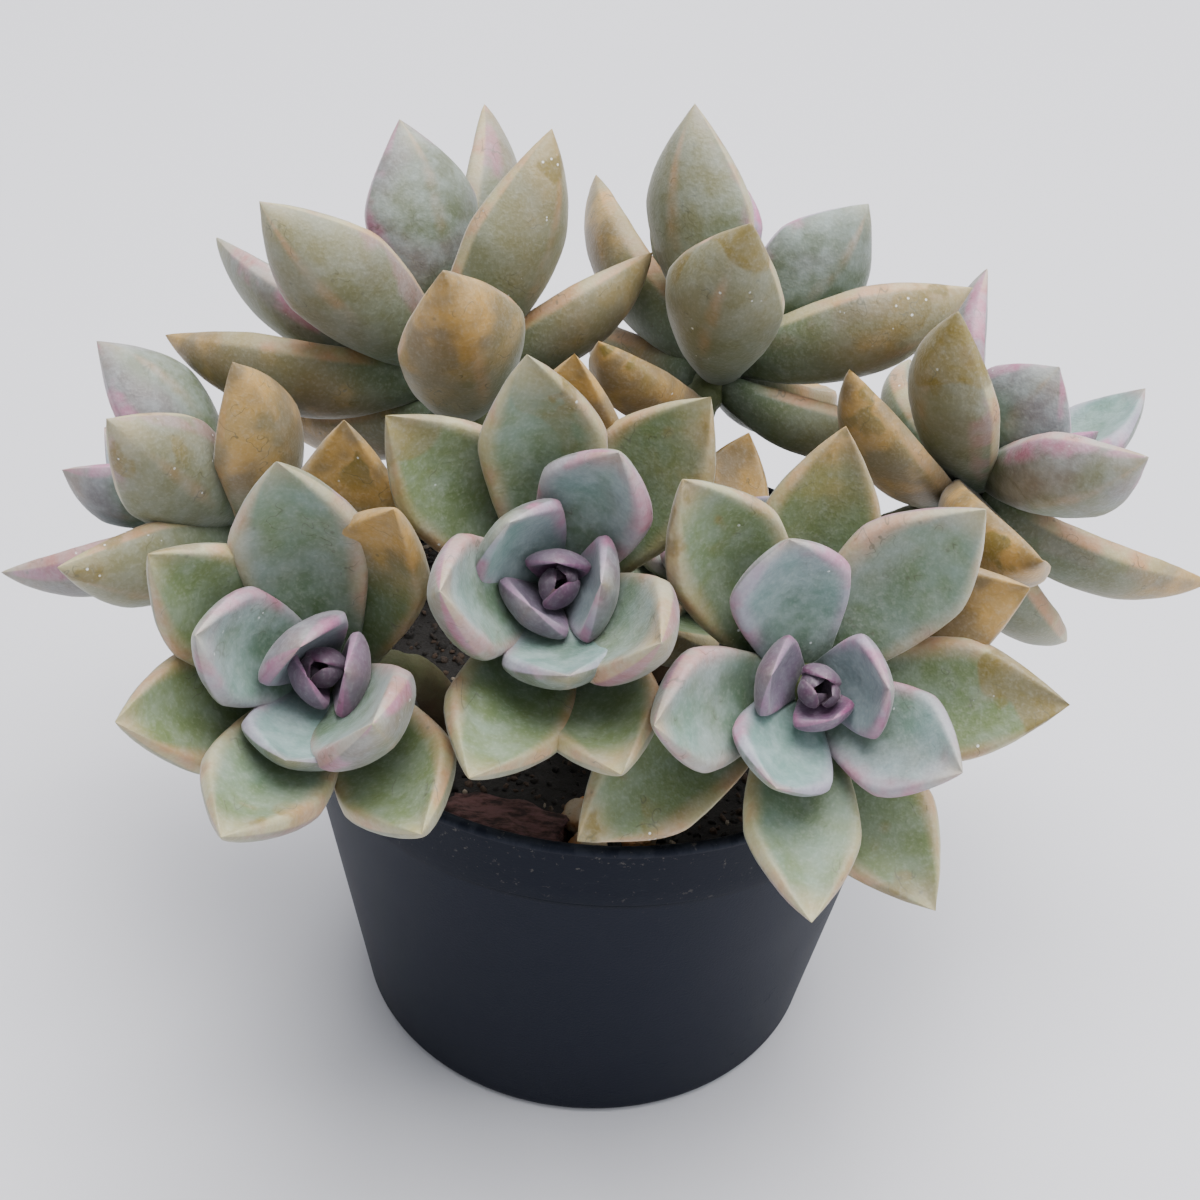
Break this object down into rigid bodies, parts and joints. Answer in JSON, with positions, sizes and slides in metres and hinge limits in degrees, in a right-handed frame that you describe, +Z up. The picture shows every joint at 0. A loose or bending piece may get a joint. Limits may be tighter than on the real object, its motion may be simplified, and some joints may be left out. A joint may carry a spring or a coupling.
{
  "type": "potted graptopetalum",
  "caption": "Potted succulent: a cluster of thick, pointed, powdery leaf rosettes leaning out of a squat black growing pot.",
  "frame": {"origin": "centre of the pot's flat underside", "axes": "+Z up along the pot's axis, -Y towards the viewer of the picture, +X to the viewer's right"},
  "size_m": [0.1909, 0.1393, 0.1412],
  "materials": {
    "pot_plastic": "satin black growing-pot plastic with faint scuffs",
    "mix": null,
    "leaf": null,
    "bark": "reddish bark",
    "pebble": "rough orange to beige grit"
  },
  "bodies": {
    "root": {"pot": "pot_plastic", "growing_mix": "mix", "rosette_front_right": "leaf", "rosette_front_centre": "leaf", "rosette_front_left": "leaf", "rosette_left": "leaf", "rosette_back_left": "leaf", "rosette_back_right": "leaf", "rosette_right": "leaf", "rosette_middle": "leaf", "bark_chunk": "bark", "pebble_orange": "pebble", "pebble_beige": "pebble", "pebble_tan": "pebble", "pebble_back": "pebble"}
  },
  "joints": []
}
